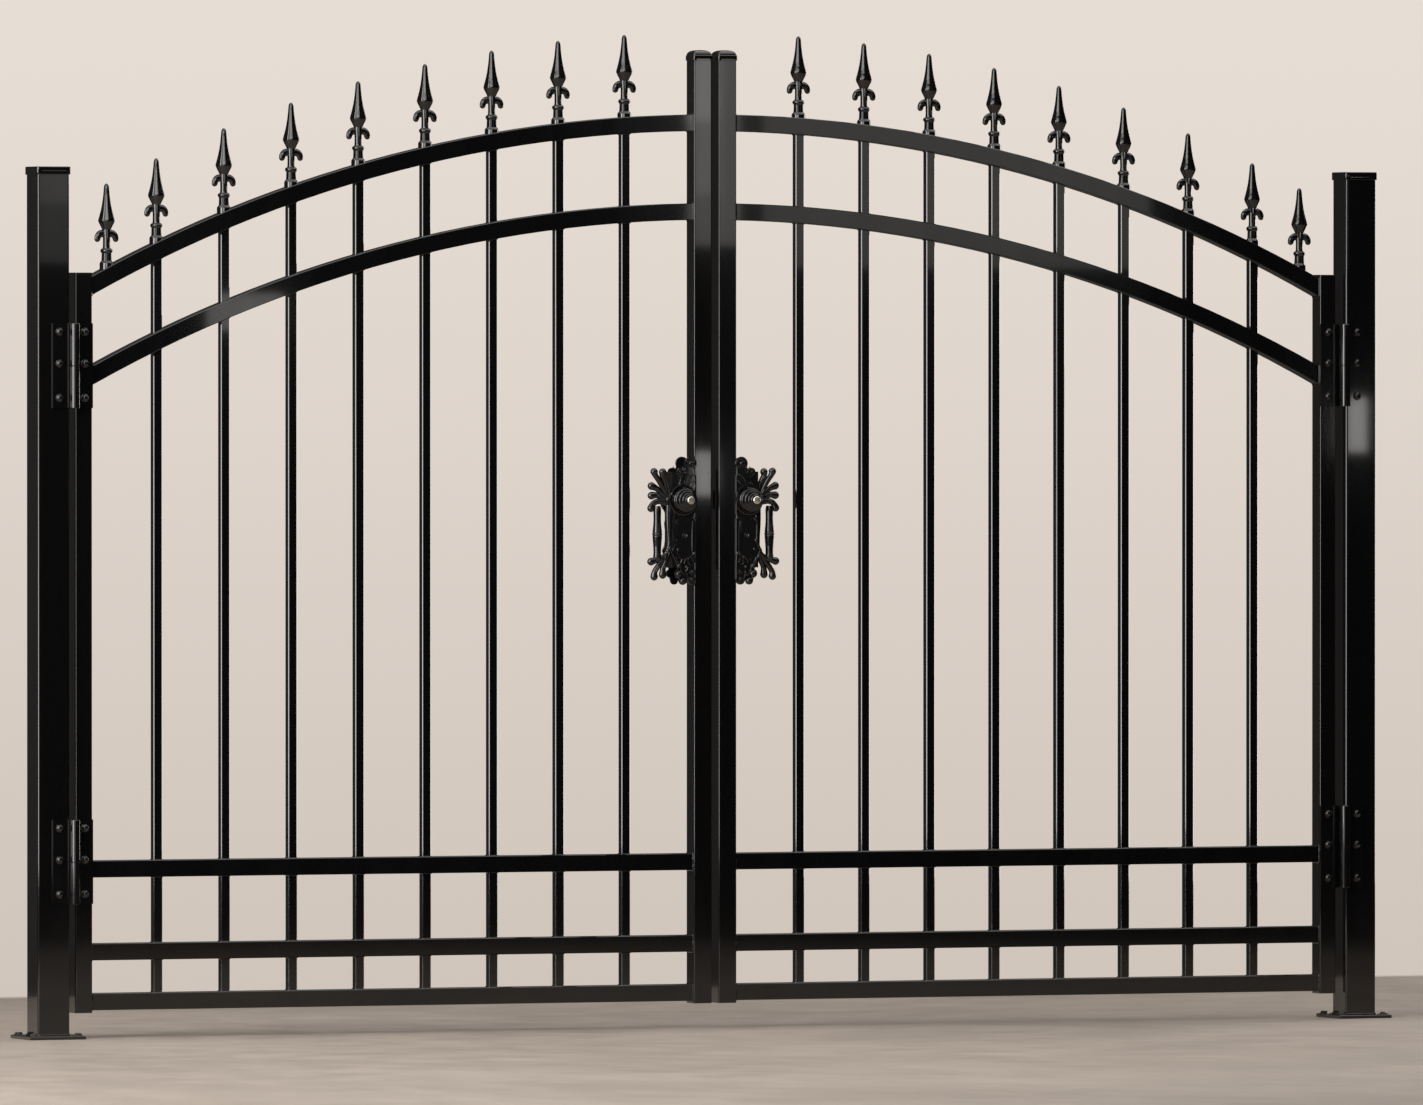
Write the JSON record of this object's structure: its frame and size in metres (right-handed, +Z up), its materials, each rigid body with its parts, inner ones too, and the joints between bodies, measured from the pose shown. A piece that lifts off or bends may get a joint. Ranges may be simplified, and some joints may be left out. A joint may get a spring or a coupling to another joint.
{
  "type": "wrought iron driveway gate",
  "caption": "Arched double-leaf wrought iron driveway gate on square posts, with spear finials, butt hinges, ornate lock plates, knobs and pull handles.",
  "frame": {"origin": "centre of the underside of the left post's base plate", "axes": "+X to the right post, -Y is the front, +Z up"},
  "size_m": [3.52, 0.168, 2.3816],
  "materials": {
    "post_paint": "gloss black paint on steel tube",
    "frame_paint": "gloss black paint on steel bar",
    "hinge_paint": "gloss black paint on forged hinges",
    "cast_paint": "gloss black paint on castings",
    "lock_paint": "satin black paint, rubbed on the high points",
    "knob_button": "worn polished brass"
  },
  "bodies": {
    "posts": {"left_post": "post_paint", "left_base_plate": "post_paint", "left_post_cap": "post_paint", "left_post_hinge_leaves": "hinge_paint", "right_post": "post_paint", "right_base_plate": "post_paint", "right_post_cap": "post_paint", "right_post_hinge_leaves": "hinge_paint"},
    "left_leaf": {"left_hinge_stile": "frame_paint", "left_meeting_stile": "frame_paint", "left_stile_caps": "frame_paint", "left_upper_arch_rail": "frame_paint", "left_lower_arch_rail": "frame_paint", "left_middle_rail": "frame_paint", "left_lower_rail": "frame_paint", "left_bottom_rail": "frame_paint", "left_pickets": "frame_paint", "left_finials": "cast_paint", "left_gate_hinge_leaves": "hinge_paint", "left_lock_case": "lock_paint", "left_front_lock_plate": "lock_paint", "left_back_lock_plate": "lock_paint", "left_pull_handle": "lock_paint", "left_latch_strip": "lock_paint"},
    "right_leaf": {"right_hinge_stile": "frame_paint", "right_meeting_stile": "frame_paint", "right_stile_caps": "frame_paint", "right_upper_arch_rail": "frame_paint", "right_lower_arch_rail": "frame_paint", "right_middle_rail": "frame_paint", "right_lower_rail": "frame_paint", "right_bottom_rail": "frame_paint", "right_pickets": "frame_paint", "right_finials": "cast_paint", "right_gate_hinge_leaves": "hinge_paint", "right_lock_case": "lock_paint", "right_front_lock_plate": "lock_paint", "right_back_lock_plate": "lock_paint", "right_pull_handle": "lock_paint", "right_strike_strip": "lock_paint"},
    "left_handle_knob": {"left_knob": "lock_paint", "left_knob_buttons": "knob_button"},
    "right_handle_knob": {"right_knob": "lock_paint", "right_knob_buttons": "knob_button"}
  },
  "joints": [
    {"name": "left_leaf_swing", "type": "hinge", "parent": "posts", "child": "left_leaf", "pos_m": [0.048, -0.054, 0], "axis": [0, 0, -1], "range_deg": [0, 100]},
    {"name": "right_leaf_swing", "type": "hinge", "parent": "posts", "child": "right_leaf", "pos_m": [3.332, -0.054, 0], "axis": [0, 0, 1], "range_deg": [0, 100]},
    {"name": "left_knob_turn", "type": "hinge", "parent": "left_leaf", "child": "left_handle_knob", "pos_m": [1.605, 0, 1.267], "axis": [0, -1, 0], "range_deg": [0, 60], "stiffness_Nm_per_rad": 0.6},
    {"name": "right_knob_turn", "type": "hinge", "parent": "right_leaf", "child": "right_handle_knob", "pos_m": [1.775, 0, 1.267], "axis": [0, 1, 0], "range_deg": [0, 60], "stiffness_Nm_per_rad": 0.6}
  ]
}
